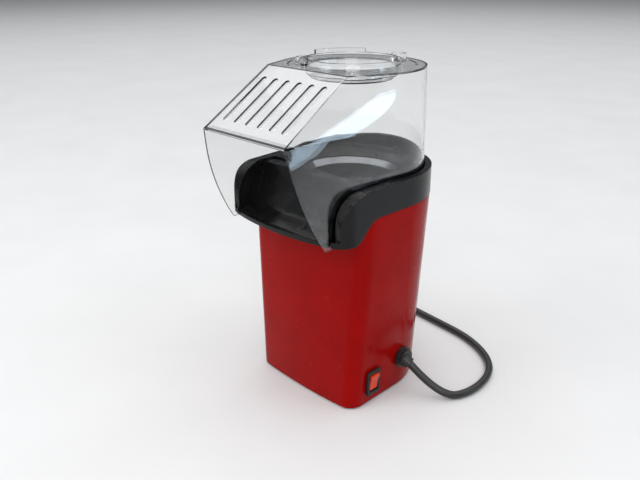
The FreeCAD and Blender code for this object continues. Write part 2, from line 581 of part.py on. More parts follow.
# --- popping chamber, ring, shroud and heater -----------------------------------------------------
def make_chamber():
    cup = turn_profile("chamber_cup", [
        ("0", "P.chamber_bottom + 2"), ("20", "P.chamber_bottom"),
        ("P.chamber_radius + P.chamber_skin", "P.chamber_bottom"),
        ("P.chamber_radius + P.chamber_skin", "P.flare_start"), ("P.flare_radius", "P.flare_top"),
        ("P.flare_radius - 0.7", "P.flare_top + 0.7"), ("P.chamber_radius", "P.flare_start + 0.6"),
        ("P.chamber_radius", "P.chamber_bottom + P.chamber_skin"),
        ("20", "P.chamber_bottom + P.chamber_skin"), ("0", "P.chamber_bottom + 2 + P.chamber_skin")])
    louvres = []
    for index in range(20):
        slot = box(f"louvre_{index}", "8", "1.8", "13", "P.chamber_radius - 4", "-0.9", "P.chamber_bottom + 4")
        slot.Placement.Rotation = FreeCAD.Rotation(FreeCAD.Vector(1, 0, 0), 28)
        slot_group = doc.addObject("Part::Compound", f"louvre_at_{index}")
        slot_group.Links = [slot]
        slot_group.Placement.Rotation = FreeCAD.Rotation(FreeCAD.Vector(0, 0, 1), index * 18)
        louvres.append(place(slot_group, back=AXIS))
    node("popping_chamber", cut("popping_chamber", cup, [group("louvres", louvres)]))
    ring = turn_profile("ring_form", [
        ("P.ring_in - 0.6", "P.ring_bottom"), ("P.ring_out", "P.ring_bottom"),
        ("P.ring_out", "P.ring_bottom + P.ring_thick"), ("P.ring_in", "P.ring_bottom + P.ring_thick")])
    holes = [cylinder(f"ring_hole_{degrees}", "1.7", "10", *around("P.ring_screw_reach", degrees),
                      "P.ring_bottom - 5") for degrees in (30, 150, 270)]
    node("chamber_ring", cut("chamber_ring", ring, holes))
    screws = []
    for degrees in (30, 150, 270):
        across, back = around("P.ring_screw_reach", degrees)
        screws.append(turn_profile(f"ring_screw_{degrees}", [
            ("0", "P.ring_bottom - 1.9"), ("1.6", "P.ring_bottom - 1.9"), ("2.7", "P.ring_bottom - 1.1"),
            ("2.7", "P.ring_bottom"), ("P.pilot_radius - 0.05", "P.ring_bottom"),
            ("P.pilot_radius - 0.05", "P.ring_bottom + 5.4"), ("0", "P.ring_bottom + 6")], back, across))
    node("ring_screws", group("ring_screws", screws))


def make_heater():
    shroud = turn_profile("shroud_form", [
        ("P.shroud_radius", "P.shroud_bottom"), ("P.shroud_radius + P.shroud_skin", "P.shroud_bottom"),
        ("P.shroud_radius + P.shroud_skin", "P.shroud_top"), ("P.shroud_radius", "P.shroud_top")])
    node("heat_shroud", shroud)
    boards = [box("mica_across", "2 * P.mica_reach", "P.mica_thick", "P.mica_top - P.mica_bottom",
                  "-P.mica_reach", f"{AXIS} - P.mica_thick / 2", "P.mica_bottom"),
              box("mica_along", "P.mica_thick", "2 * P.mica_reach", "P.mica_top - P.mica_bottom",
                  "-P.mica_thick / 2", f"{AXIS} - P.mica_reach", "P.mica_bottom")]
    node("mica_former", join("mica_former", boards))
    spiral = doc.addObject("Part::Helix", "coil_line")
    bind(spiral, Pitch="P.coil_pitch", Height="P.coil_rise", Radius="P.coil_radius")
    place(spiral, "0", AXIS, "P.coil_bottom")
    wire = sketch("coil_section", "XZ", AXIS)
    round_wire = wire.addGeometry(Part.Circle(flat(31, 82), FreeCAD.Vector(0, 0, 1), 0.5))
    fix(wire, "Radius", "P.coil_wire", round_wire)
    fix_point(wire, "P.coil_radius", "P.coil_bottom", round_wire, 3)
    sweep = doc.addObject("Part::Sweep", "heating_coil")
    sweep.Sections = [wire]
    sweep.Spine = (spiral, ["Edge1"])
    sweep.Solid = True
    sweep.Frenet = True
    node("heating_coil", sweep)
    wall = "P.shroud_radius + P.shroud_skin + 0.3"
    disc = cylinder("thermostat_disc", "8", "5.5", f"-({wall} + 5.5)", AXIS, "125", ALONG_X)
    cap = cylinder("thermostat_cap", "6", "3.2", f"-({wall} + 8.6)", AXIS, "125", ALONG_X)
    tabs = [box(f"thermostat_tab_{side}", "3", "4", "0.8", f"-({wall} + 10.4)", f"{AXIS} - 2",
                f"125 + {side} - 0.4") for side in (-3.5, 3.5)]
    node("thermostat", join("thermostat", [disc, cap] + tabs))
    fuse_spot = around("P.shroud_radius + 3.8", 215)
    fuse = [cylinder("fuse_barrel", "2", "11", *fuse_spot, "92"),
            cylinder("fuse_leads", "0.5", "25", *fuse_spot, "85")]
    node("thermal_fuse", join("thermal_fuse", fuse))


# --- fan and motor ----------------------------------------------------------------------------------
def make_fan():
    cup = turn_profile("housing_form", [
        ("P.motor_radius - 10", "P.housing_bottom"), ("P.housing_radius", "P.housing_bottom"),
        ("P.housing_radius", "P.housing_top"), ("P.housing_radius - P.housing_wall", "P.housing_top"),
        ("P.housing_radius - P.housing_wall", "P.housing_bottom + P.housing_wall"),
        ("P.motor_radius - 10", "P.housing_bottom + P.housing_wall")])
    inlets = [cylinder(f"inlet_{index}", "4.8", "10", *around("21", index * 45), "P.housing_bottom - 5")
              for index in range(8)]
    screw_holes = [cylinder(f"motor_screw_hole_{side}", "1.5", "10", f"{side} * 8", AXIS,
                            "P.housing_bottom - 5") for side in (-1, 1)]
    node("fan_housing", cut("fan_housing", cup, inlets + screw_holes))
    plate = turn_profile("diffuser_form", [
        ("0", "P.housing_top + 0.2"), ("P.housing_radius", "P.housing_top + 0.2"),
        ("P.housing_radius", "P.housing_top + 2"), ("0", "P.housing_top + 2")])
    outlets = [cylinder(f"outlet_{index}", "4.2", "10", *around("36.5", index * 24), "P.housing_top - 5")
               for index in range(15)]
    node("air_diffuser", cut("air_diffuser", plate, outlets))
    base = "P.impeller_bottom"
    hub = turn_profile("hub_form", [
        ("P.shaft_radius", base), ("P.impeller_radius", base), ("P.impeller_radius", f"{base} + 1.4"),
        ("6", f"{base} + 1.4"), ("4.5", f"{base} + 12"), ("P.shaft_radius", f"{base} + 12")])
    blades = []
    for index in range(12):
        blade = box(f"blade_{index}", "27", "P.blade_thick", "P.blade_rise", "13.5", "4", f"{base} + 1")
        turned = doc.addObject("Part::Compound", f"blade_at_{index}")
        turned.Links = [blade]
        turned.Placement.Rotation = FreeCAD.Rotation(FreeCAD.Vector(0, 0, 1), index * 30)
        blades.append(place(turned, back=AXIS))
    node("impeller", join("impeller", [hub] + blades))
    node("motor_shaft", cylinder("motor_shaft", "P.shaft_radius", "P.shaft_top - P.shaft_bottom",
                                 up="P.shaft_bottom"))
    rotor = turn_profile("rotor_form", [
        ("P.shaft_radius", "P.motor_bottom + 6"), ("9.5", "P.motor_bottom + 6"),
        ("9.5", "P.motor_top - 8"), ("P.shaft_radius", "P.motor_top - 8")])
    node("motor_rotor", rotor)
    bearing = "P.shaft_radius + P.bearing_clearance"
    can = turn_profile("can_form", [
        (bearing, "P.motor_top"), (bearing, "P.motor_top - 1.2"), ("P.motor_radius - 1", "P.motor_top - 1.2"),
        ("P.motor_radius - 1", "P.motor_bottom"), ("P.motor_radius", "P.motor_bottom"),
        ("P.motor_radius", "P.motor_top")])
    can_holes = [cylinder(f"can_hole_{side}", "1.3", "10", f"{side} * 8", AXIS, "P.motor_top - 5")
                 for side in (-1, 1)]
    node("motor_can", cut("motor_can", can, can_holes))
    end_cap = turn_profile("end_cap_form", [
        (bearing, "P.motor_bottom - 2.6"), ("4", "P.motor_bottom - 2.6"), ("4", "P.motor_bottom - 0.2"),
        ("P.motor_radius - 0.4", "P.motor_bottom - 0.2"), ("P.motor_radius - 0.4", "P.motor_bottom"),
        ("P.motor_radius - 1", "P.motor_bottom"), ("P.motor_radius - 1", "P.motor_bottom + 2"),
        (bearing, "P.motor_bottom + 2")])
    lugs = [box(f"motor_lug_{side}", "3", "0.6", "6", f"{side} * 9 - 1.5", f"{AXIS} - 0.3",
                "P.motor_bottom - 5.5") for side in (-1, 1)]
    node("motor_end_cap", join("motor_end_cap", [end_cap] + lugs))
    screws = []
    for side in (-1, 1):
        screws.append(turn_profile(f"motor_screw_{side}", [
            ("0", "P.motor_top - 2.6"), ("1.25", "P.motor_top - 2.6"),
            ("1.25", "P.housing_bottom + P.housing_wall"), ("2.5", "P.housing_bottom + P.housing_wall"),
            ("2.5", "P.housing_bottom + P.housing_wall + 1"),
            ("1.4", "P.housing_bottom + P.housing_wall + 1.7"),
            ("0", "P.housing_bottom + P.housing_wall + 1.7")], AXIS, f"{side} * 8"))
    node("motor_screws", group("motor_screws", screws))
    board = box("board", "24", "1.6", "22", "-12", f"{AXIS} + 22", "P.base_bottom + P.base_thick")
    node("rectifier_board", board)
    diodes = []
    for index in range(4):
        spot = (f"{index * 5.5 - 8.25}", f"{AXIS} + 25.4", "11")
        diodes.append(join(f"diode_{index}", [
            cylinder(f"diode_body_{index}", "1.5", "7", *spot),
            cylinder(f"diode_wire_{index}", "0.4", "14", spot[0], spot[1], "7.5")]))
    node("rectifier_diodes", group("rectifier_diodes", diodes))


# --- switch ------------------------------------------------------------------------------------------
def make_switch():
    half_wide, half_tall = "P.switch_wide / 2", "P.switch_tall / 2"
    bezel = box("bezel", "P.switch_rim", "P.switch_wide", "P.switch_tall", "P.switch_x",
                f"P.switch_y - {half_wide}", f"P.switch_z - {half_tall}")
    barrel = box("switch_barrel", "P.switch_depth + 0.5", "P.switch_wide - 2", "P.switch_tall - 2",
                 "P.switch_x - P.switch_depth", f"P.switch_y - {half_wide} + 1",
                 f"P.switch_z - {half_tall} + 1")
    well = box("rocker_well", "12", "P.rocker_wide + 0.6", "P.rocker_tall + 0.8", "P.switch_x - 7",
               "P.switch_y - P.rocker_wide / 2 - 0.3", "P.switch_z - P.rocker_tall / 2 - 0.4")
    bearing = cylinder("rocker_bearing", "1.25", "P.rocker_wide + 2.6", "P.switch_x - 1.2",
                       "P.switch_y - P.rocker_wide / 2 - 1.3", "P.switch_z", ALONG_Y)
    node("switch_housing", cut("switch_housing", join("switch_form", [bezel, barrel]), [well, bearing]))
    side_view = outline("rocker_view", "XZ", [
        ("P.switch_x - 3.4", "P.switch_z - 4"),
        ("P.switch_x - 0.6", "P.switch_z - P.rocker_tall / 2 + 0.5"),
        ("P.switch_x + 0.9", "P.switch_z - P.rocker_tall / 2 + 0.5", "0.6"),
        ("P.switch_x + 1.6", "P.switch_z", "20"),
        ("P.switch_x + 3.9", "P.switch_z + P.rocker_tall / 2 - 0.6", "0.8"),
        ("P.switch_x - 0.2", "P.switch_z + P.rocker_tall / 2 - 0.6"),
        ("P.switch_x - 3.4", "P.switch_z + 4")], "P.switch_y")
    paddle = extrude("rocker_paddle", side_view, "P.rocker_wide", symmetric=True)
    pin = cylinder("rocker_pin", "1.2", "P.rocker_wide + 2.2", "P.switch_x - 1.2",
                   "P.switch_y - P.rocker_wide / 2 - 1.1", "P.switch_z", ALONG_Y)
    node("switch_rocker", join("switch_rocker", [paddle, pin]))
    terminals = [box(f"terminal_{index}", "9", "0.8", "4.8", "P.switch_x - P.switch_depth - 9",
                     "P.switch_y - 0.4", f"P.switch_z + {offset} - 2.4") for index, offset in
                 enumerate((-5.5, 1.5))]
    node("switch_terminals", group("switch_terminals", terminals))


# --- leads, gland, mains cord and plug --------------------------------------------------------------
def value(alias):
    """A driving dimension as a number."""
    return float(sheet.get(alias))


def tube(label, points, diameter):
    """Round tube along straight runs joined by tangent arcs, its bend radii printed."""
    knots = [FreeCAD.Vector(*point) for point in points]
    edges = []
    start = knots[0]
    radii = []
    for before, here, after in zip(knots, knots[1:], knots[2:]):
        incoming, outgoing = here - before, after - here
        back = 0.45 * min(incoming.Length, outgoing.Length)
        half_turn = incoming.getAngle(outgoing) / 2
        radii.append(round(back / math.tan(half_turn), 1))
        incoming.normalize()
        outgoing.normalize()
        enter, leave = here - incoming * back, here + outgoing * back
        bisector = (outgoing - incoming).normalize()
        centre = here + bisector * (back / math.sin(half_turn))
        middle = centre - bisector * (back / math.tan(half_turn))
        edges.append(Part.makeLine(start, enter))
        edges.append(Part.Arc(enter, middle, leave).toShape())
        start = leave
    edges.append(Part.makeLine(start, knots[-1]))
    spine = Part.Wire(edges)
    ring = Part.Wire(Part.makeCircle(diameter / 2, knots[0], knots[1] - knots[0]))
    solid = spine.makePipeShell([ring], True, True)
    expected = spine.Length * math.pi * diameter ** 2 / 4
    print(f"{label}: length {spine.Length:.0f}, volume {solid.Volume / expected:.3f}, radii {radii}")
    return solid


def feature(name, shape):
    """Object that carries a shape built above."""
    new = doc.addObject("Part::Feature", name)
    new.Shape = shape
    return new


GLAND_AIM = FreeCAD.Vector(0.76, 0.254, -0.599).normalize()


def gland_start():
    return FreeCAD.Vector(value("gland_x") + 2.9, value("gland_y") - 0.6, value("gland_z"))


def make_leads():
    wire = value("lead_diameter")
    level = value("switch_z")
    switch_back = value("switch_x") - value("switch_depth") - 9
    row_y = value("switch_y")
    live = [(48.6, 22, level + 1.5), (48.6, 4, level + 1.5), (37, -1, level + 1.5),
            (27, -5, level + 1.5), (27, row_y, level + 1.5), (switch_back - 0.2, row_y, level + 1.5)]
    neutral = [(48.4, 28, 30), (40, 38, 30), (26, 46, 28.4), (16, 47.5, 28.2), (9, 46, 28.2)]
    node("lead_live", feature("lead_live", tube("lead_live", live, wire)))
    node("lead_neutral", feature("lead_neutral", tube("lead_neutral", neutral, wire)))


def make_gland():
    flange = cylinder("gland_flange", "9", "2.8", "P.gland_x", "P.gland_y", "P.gland_z", ALONG_X)
    knob = cylinder("gland_knob", "7.4", "5.6", "P.gland_x", "P.gland_y", "P.gland_z", ALONG_X)
    neck = cylinder("gland_neck", "4.6", "9.4", "P.gland_x - 8.4", "P.gland_y", "P.gland_z", ALONG_X)
    nut = cylinder("gland_nut", "6.6", "3", "P.gland_x - 8.6", "P.gland_y", "P.gland_z", ALONG_X)
    aim = FreeCAD.Rotation(FreeCAD.Vector(0, 0, 1), GLAND_AIM)
    barrel = cylinder("gland_barrel", "5", "P.gland_reach", "P.gland_x + 2.9", "P.gland_y - 0.6",
                      "P.gland_z", aim)
    node("strain_relief", join("strain_relief", [flange, knob, neck, nut, barrel]))


def make_cord():
    floor = value("cord_diameter") / 2 + 0.05
    leave = gland_start() + GLAND_AIM * value("gland_reach")
    coil_top = value("coil_y") + value("coil_mid")
    route = [tuple(leave), (93.6, 36.6, floor), (113, 66.5, floor), (103, 105, floor), (65, 129, floor),
             (10, 135, floor), (-40, 139, floor + 0.6), (value("coil_x") + 6, coil_top, floor + 1.2)]
    tail = [(value("coil_x") - 16, coil_top, 9.2), (value("coil_x") - 26, coil_top, 10.6),
            (value("plug_x"), coil_top, value("plug_z"))]
    lead = tube("cord route", route, value("cord_diameter"))
    end = tube("cord tail", tail, value("cord_diameter"))
    node("mains_cord", feature("mains_cord", Part.makeCompound([lead, end])))
    half, low = "P.coil_wide / 2", "P.coil_lift"
    bundle = turn_profile("cord_coil", [
        (f"P.coil_mid - {half}", low, "3"), (f"P.coil_mid + {half}", low, "3"),
        (f"P.coil_mid + {half}", f"{low} + P.coil_tall", "4"),
        (f"P.coil_mid - {half}", f"{low} + P.coil_tall", "4")], "P.coil_y", "P.coil_x")
    node("cord_coil", bundle)
    outer = box("tie_outer", "P.coil_wide + 2.4", "5", "P.coil_tall + 1.7",
                f"P.coil_x + P.coil_mid - {half} - 1.2", "P.coil_y - 2.5", "P.coil_lift - 0.85")
    inner = box("tie_inner", "P.coil_wide + 0.6", "9", "P.coil_tall + 0.2",
                f"P.coil_x + P.coil_mid - {half} - 0.3", "P.coil_y - 4.5", "P.coil_lift - 0.1")
    node("cord_tie", cut("cord_tie", outer, [inner]))


def make_plug():
    back = "P.coil_y + P.coil_mid"
    profile = outline("plug_section", "YZ", [
        (f"{back} - P.plug_wide / 2", "P.plug_z - P.plug_tall / 2", "9"),
        (f"{back} + P.plug_wide / 2", "P.plug_z - P.plug_tall / 2", "9"),
        (f"{back} + P.plug_wide / 2", "P.plug_z + P.plug_tall / 2", "9"),
        (f"{back} - P.plug_wide / 2", "P.plug_z + P.plug_tall / 2", "9")], "P.plug_x - 38")
    shell = extrude("plug_shell", profile, "24")
    neck = doc.addObject("Part::Cone", "plug_neck")
    bind(neck, Radius1="11", Radius2="5", Height="16")
    place(neck, "P.plug_x - 16", back, "P.plug_z", ALONG_X)
    node("plug_body", join("plug_body", [shell, neck]))
    pins = []
    for side in (-1, 1):
        pins.append(cylinder(f"plug_pin_{side}", "P.pin_radius", "P.pin_length", "P.plug_x - 38 - P.pin_length",
                             f"{back} + {side} * P.pin_pitch / 2", "P.plug_z", ALONG_X))
    node("plug_pins", group("plug_pins", pins))


for make in (make_body_shell, make_base, make_collar, make_hood, make_cup, make_chamber, make_heater,
             make_fan, make_switch, make_leads, make_gland, make_cord, make_plug):
    make()
doc.recompute()

faults = [obj.Name for obj in doc.Objects if "Invalid" in obj.State or "Error" in obj.State]
faults += [obj.Label for obj in nodes if obj.Shape.isNull() or not obj.Shape.isValid()]
if faults:
    raise SystemExit(f"not built: {faults}")
for obj in nodes:
    obj.Shape.exportStep(f"parts/{obj.Label}.step")
    print(f"{obj.Label}: {len(obj.Shape.Solids)} solids, {obj.Shape.Volume:.0f} mm3")
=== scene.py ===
"""Hot-air popcorn maker: materials, rounded pieces, mains cord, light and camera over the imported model."""
import json
import math

import bmesh
import bpy
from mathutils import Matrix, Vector


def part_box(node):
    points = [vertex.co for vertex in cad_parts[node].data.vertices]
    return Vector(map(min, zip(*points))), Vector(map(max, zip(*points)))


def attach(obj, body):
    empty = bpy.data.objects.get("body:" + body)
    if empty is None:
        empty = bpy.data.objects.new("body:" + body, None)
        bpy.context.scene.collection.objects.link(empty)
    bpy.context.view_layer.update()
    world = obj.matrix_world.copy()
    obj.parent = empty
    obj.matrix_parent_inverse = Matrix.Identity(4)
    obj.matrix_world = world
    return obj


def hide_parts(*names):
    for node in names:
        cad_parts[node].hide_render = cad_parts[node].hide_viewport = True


AXIS = Vector((0.0, 0.02315, 0.0))      # upright axis of the chamber and the cup
PANEL_NORMAL = Vector((0.0, -0.0405, 0.0618)).normalized()      # square to the hood's slanted panel
PANEL_HALF = 0.041                      # half the width that holds the slots and the opening
CLEAR_TINT = (0.982, 0.988, 0.99)
CLEAR_ROUGHNESS = 0.012
# painted shade: dark colour for the hood's cut walls, standing in for the dark edges that light bending in
# the clear walls gives
CUT_WALL_PAINTED_SHADE = (0.10, 0.105, 0.11)
SHARP_EDGE = math.radians(28)
BODY_ROUNDING = 0.0007

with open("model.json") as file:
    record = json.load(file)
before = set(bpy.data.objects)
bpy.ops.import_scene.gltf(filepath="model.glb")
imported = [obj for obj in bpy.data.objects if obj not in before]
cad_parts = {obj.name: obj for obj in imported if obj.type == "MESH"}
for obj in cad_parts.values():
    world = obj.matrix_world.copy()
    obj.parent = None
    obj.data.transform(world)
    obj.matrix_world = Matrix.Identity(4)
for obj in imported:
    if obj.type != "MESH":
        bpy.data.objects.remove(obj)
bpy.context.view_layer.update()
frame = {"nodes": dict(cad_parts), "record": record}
nodes = frame["nodes"]


# --- camera -----------------------------------------------------------------------------------------
def make_camera():
    """Camera at the height of the hood, looking a little down on the front right corner."""
    data = bpy.data.cameras.new("camera")
    data.sensor_width = 36.0
    data.lens = 38.35
    data.shift_x = -0.010
    data.shift_y = -0.030
    data.clip_start = 0.01
    camera = bpy.data.objects.new("camera", data)
    camera.location = (0.3672, -0.37365, 0.3417)
    camera.rotation_euler = (math.radians(90.0 - 20.8), 0.0, math.radians(44.9))
    bpy.context.scene.collection.objects.link(camera)
    bpy.context.scene.camera = camera


# --- node-based materials ---------------------------------------------------------------------------
class Graph:
    """A material's node tree round one Principled shader, with object coordinates in metres."""

    def __init__(self, name, color, roughness, metallic=0.0, ior=1.5):
        self.material = bpy.data.materials.new(name)
        self.material.use_nodes = True
        self.tree = self.material.node_tree
        self.shader = self.tree.nodes["Principled BSDF"]
        self.color = color
        self.tinted = None
        self.roughness = roughness
        self.shader.inputs["Base Color"].default_value = (*color, 1.0)
        self.shader.inputs["Roughness"].default_value = roughness
        self.shader.inputs["Metallic"].default_value = metallic
        self.shader.inputs["IOR"].default_value = ior
        self.object_space = self.add("ShaderNodeTexCoord").outputs["Object"]
        self.normal = None

    def add(self, kind, inputs=None, **settings):
        """New node with its settings and its inputs, each a value or another node's output."""
        new = self.tree.nodes.new(kind)
        for key, value in settings.items():
            setattr(new, key, value)
        for key, value in (inputs or {}).items():
            if isinstance(value, bpy.types.NodeSocket):
                self.tree.links.new(value, new.inputs[key])
            else:
                new.inputs[key].default_value = value
        return new

    def link(self, output, input_name):
        """Feed one of the shader's inputs."""
        self.tree.links.new(output, self.shader.inputs[input_name])

    def noise(self, scale, detail=3.0, space=None, roughness=0.55):
        """Noise from 0 to 1, its scale in features per metre."""
        return self.add("ShaderNodeTexNoise", {
            "Vector": space or self.object_space, "Scale": scale, "Detail": detail,
            "Roughness": roughness}).outputs["Fac"]

    def stretched(self, scale):
        """Object coordinates scaled by a different factor each way."""
        return self.add("ShaderNodeMapping", {"Vector": self.object_space, "Scale": scale}).outputs["Vector"]

    def remap(self, value, low, high, new_low, new_high):
        """Linear change of range, clamped."""
        return self.add("ShaderNodeMapRange", {
            "Value": value, "From Min": low, "From Max": high, "To Min": new_low,
            "To Max": new_high}).outputs["Result"]

    def blend_color(self, fac, first, second):
        """Mix of two colours."""
        mix = self.add("ShaderNodeMix", data_type="RGBA")
        for socket, value in zip([s for s in mix.inputs if s.type == "RGBA"], (first, second)):
            if isinstance(value, bpy.types.NodeSocket):
                self.tree.links.new(value, socket)
            else:
                socket.default_value = (*value, 1.0)
        self.tree.links.new(fac, mix.inputs["Factor"])
        return [s for s in mix.outputs if s.type == "RGBA"][0]

    def mottle(self, amount, scale, detail=4.0):
        """Slight variation of the base colour in soft patches."""
        lighter = tuple(min(1.0, channel * (1 + amount) + amount * 0.004) for channel in self.color)
        darker = tuple(channel * (1 - amount) for channel in self.color)
        patches = self.remap(self.noise(scale, detail), 0.35, 0.65, 0.0, 1.0)
        self.tinted = self.blend_color(patches, darker, lighter)
        self.link(self.tinted, "Base Color")
        return self

    def smudge(self, spread, scale, detail=5.0):
        """Roughness that wanders up and down."""
        self.link(self.remap(self.noise(scale, detail), 0.35, 0.68, max(0.01, self.roughness - spread),
                             self.roughness + spread), "Roughness")
        return self

    def bump(self, height, distance, strength=1.0):
        """Relief, its height in metres, over whatever relief is there already."""
        inputs = {"Height": height, "Distance": distance, "Strength": strength}
        if self.normal:
            inputs["Normal"] = self.normal
        self.normal = self.add("ShaderNodeBump", inputs).outputs["Normal"]
        self.link(self.normal, "Normal")
        return self

    def soften(self, radius):
        """Shade hard edges as rounded by this radius, in metres."""
        self.normal = self.add("ShaderNodeBevel", {"Radius": radius}, samples=6).outputs["Normal"]
        self.link(self.normal, "Normal")
        return self

    def dust(self, color, amount):
        """Pale dust on faces that look up."""
        normal = self.add("ShaderNodeNewGeometry").outputs["Normal"]
        up = self.add("ShaderNodeSeparateXYZ", {"Vector": normal})
        facing = self.remap(up.outputs["Z"], 0.6, 1.0, 0.0, amount)
        speck = self.remap(self.noise(900, 4.0), 0.45, 0.8, 0.0, 1.0)
        fac = self.add("ShaderNodeMath", {0: facing, 1: speck}, operation="MULTIPLY").outputs[0]
        self.link(self.blend_color(fac, self.tinted, color), "Base Color")
        return self


def moulded(name, color, roughness, grain=0.00002, coat=0.0, dust=0.05, waves=0.00012, edge=0.0005,
            shine=0.3):
    """Injection-moulded plastic: soft mottling, smudged gloss, faint waviness and a fine skin."""
    g = Graph(name, color, roughness, ior=1.5).mottle(0.07, 26)
    g.smudge(roughness * 0.28, 70)
    g.soften(edge)
    g.bump(g.noise(38, 2.0), waves)
    g.bump(g.noise(2600, 2.0), grain)
    if dust:
        g.dust((0.5, 0.48, 0.45), dust)
    g.shader.inputs["Specular IOR Level"].default_value = shine
    g.shader.inputs["Coat Weight"].default_value = coat
    g.shader.inputs["Coat Roughness"].default_value = 0.08
    return g.material


def turned_metal(name, color, roughness, lines=0.00001):
    """Spun metal with fine rings round the upright axis."""
    g = Graph(name, color, roughness, metallic=1.0).mottle(0.06, 40)
    rings = g.noise(60, 3.0, g.stretched((1.0, 1.0, 60.0)))
    g.smudge(roughness * 0.35, 120)
    g.bump(rings, lines)
    g.bump(g.noise(55, 3.0), 0.00012)
    return g.material


def cut_wall_shade_mask(g):
    """Mask for painted shade: 1 on the hood's cut walls, round its slots and its opening, and 0 elsewhere.
    """
    normal = g.add("ShaderNodeNewGeometry").outputs["Normal"]
    facing = g.add("ShaderNodeVectorMath", {0: normal, 1: PANEL_NORMAL},
                   operation="DOT_PRODUCT").outputs["Value"]
    tilt = g.add("ShaderNodeMath", {0: facing}, operation="ABSOLUTE").outputs[0]
    place = g.add("ShaderNodeSeparateXYZ", {"Vector": g.object_space}).outputs["X"]
    across = g.add("ShaderNodeMath", {0: place}, operation="ABSOLUTE").outputs[0]
    return g.add("ShaderNodeMath", {
        0: g.remap(tilt, 0.25, 0.35, 1.0, 0.0),
        1: g.remap(across, PANEL_HALF - 0.0005, PANEL_HALF, 1.0, 0.0)}, operation="MULTIPLY").outputs[0]


def clear_plastic(name, tint, roughness, painted_shade_cuts=False):
    """Clear moulded plastic with faint waves and wiping marks, its cut walls darkened with painted shade if
    wanted.
    """
    g = Graph(name, tint, roughness, ior=1.49)
    g.shader.inputs["Transmission Weight"].default_value = 1.0
    haze = g.remap(g.noise(30, 5.0, g.stretched((1.0, 1.0, 3.0))), 0.45, 0.75, roughness, roughness + 0.05)
    g.link(haze, "Roughness")
    clear = g.blend_color(g.noise(18, 3.0), tint, tuple(c * 0.985 for c in tint))
    if painted_shade_cuts:
        # painted shade: the cut walls round the slots and the opening are coloured dark instead of clear
        clear = g.blend_color(cut_wall_shade_mask(g), clear, CUT_WALL_PAINTED_SHADE)
    g.link(clear, "Base Color")
    g.bump(g.noise(24, 1.5), 0.00010)
    return g.material


def mica(name):
    """Layered mica sheet: pale streaks and flakes."""
    g = Graph(name, (0.55, 0.5, 0.42), 0.4).mottle(0.25, 300, 6.0)
    g.smudge(0.15, 500)
    g.bump(g.noise(900, 4.0), 0.00006)
    return g.material


def board(name):
    """Brown phenolic board with short fibres."""
    g = Graph(name, (0.36, 0.2, 0.08), 0.5).mottle(0.22, 700, 6.0)
    g.smudge(0.12, 300)
    g.bump(g.noise(1500, 3.0), 0.00003)
    return g.material


def windings(name):
    """Varnished copper turns."""
    g = Graph(name, (0.72, 0.3, 0.13), 0.28, metallic=1.0).mottle(0.12, 200)
    turns = g.add("ShaderNodeTexWave", {"Vector": g.object_space, "Scale": 420.0, "Distortion": 0.6},
                  bands_direction="Z").outputs["Fac"]
    g.smudge(0.08, 300)
    g.bump(turns, 0.0002)
    return g.material


def rubber(name, color, roughness, grain=0.00004):
    """Soft black rubber or PVC with a dry skin."""
    g = Graph(name, color, roughness).mottle(0.18, 120)
    g.smudge(0.1, 200)
    g.bump(g.noise(1800, 4.0), grain)
    g.dust((0.35, 0.33, 0.3), 0.1)
    g.shader.inputs["Sheen Weight"].default_value = 0.05
    return g.material


MATERIALS = {
    "body_red": moulded("red body plastic", (0.27, 0.0008, 0.0006), 0.22, dust=0.006, shine=0.06),
    "black_plastic": moulded("black matt plastic", (0.016, 0.016, 0.017), 0.42, grain=0.00005),
    "collar_black": moulded("black satin plastic", (0.006, 0.006, 0.0066), 0.24, coat=0.05, dust=0.006,
                            edge=0.0008, shine=0.16),
    "rubber": rubber("foot rubber", (0.02, 0.02, 0.02), 0.7),
    "steel": turned_metal("plated steel", (0.62, 0.62, 0.63), 0.3),
    "clear_plastic": clear_plastic("clear plastic", CLEAR_TINT, CLEAR_ROUGHNESS),
    "chamber_aluminium": turned_metal("spun aluminium", (0.22, 0.225, 0.235), 0.17),
    "mica": mica("mica sheet"),
    "heating_wire": turned_metal("oxidised resistance wire", (0.23, 0.2, 0.19), 0.5),
    "inner_plastic": moulded("heat-proof black plastic", (0.03, 0.03, 0.032), 0.5),
    "copper": windings("copper windings"),
    "white_plastic": moulded("white plastic", (0.78, 0.77, 0.73), 0.38),
    "board": board("phenolic board"),
    "rocker_red": moulded("rocker red plastic", (0.62, 0.035, 0.004), 0.24, coat=0.05, dust=0.0),
    "brass": turned_metal("brass", (0.72, 0.52, 0.22), 0.3),
    "plated_brass": turned_metal("nickel-plated brass", (0.74, 0.72, 0.68), 0.16),
    "lead_brown": moulded("brown wire sleeve", (0.12, 0.045, 0.02), 0.4),
    "lead_blue": moulded("blue wire sleeve", (0.02, 0.08, 0.32), 0.4),
    "cord_black": rubber("black PVC", (0.011, 0.011, 0.012), 0.38),
}


def paint(obj, slot):
    """Give an object the one material of its slot."""
    if not obj.data.materials:
        obj.data.materials.append(None)
    for place in obj.material_slots:
        place.material = MATERIALS[slot]


def paint_nodes():
    """Every CAD node gets its slot's material, with painted shade on the hood's cut walls, and keeps its
    hard edges.
    """
    for part in frame["record"]["subparts"]:
        obj = nodes[part["node"]]
        paint(obj, part["material_slot"])
        obj.data.shade_smooth()
        obj.data.set_sharp_from_angle(angle=SHARP_EDGE)
    # hood material with painted shade on its cut walls
    slotted = clear_plastic("clear hood plastic", CLEAR_TINT, CLEAR_ROUGHNESS, painted_shade_cuts=True)
    for place in nodes["hood"].material_slots:
        place.material = slotted


# --- pieces that replace CAD nodes with rounded edges -----------------------------------------------
def new_piece(name, bm, slot, body):
    """Object from a bmesh, painted and riding on a body."""
    data = bpy.data.meshes.new(name)
    bm.to_mesh(data)
    bm.free()
    piece = bpy.data.objects.new(name, data)
    bpy.context.scene.collection.objects.link(piece)
    paint(piece, slot)
    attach(piece, body)
    return piece


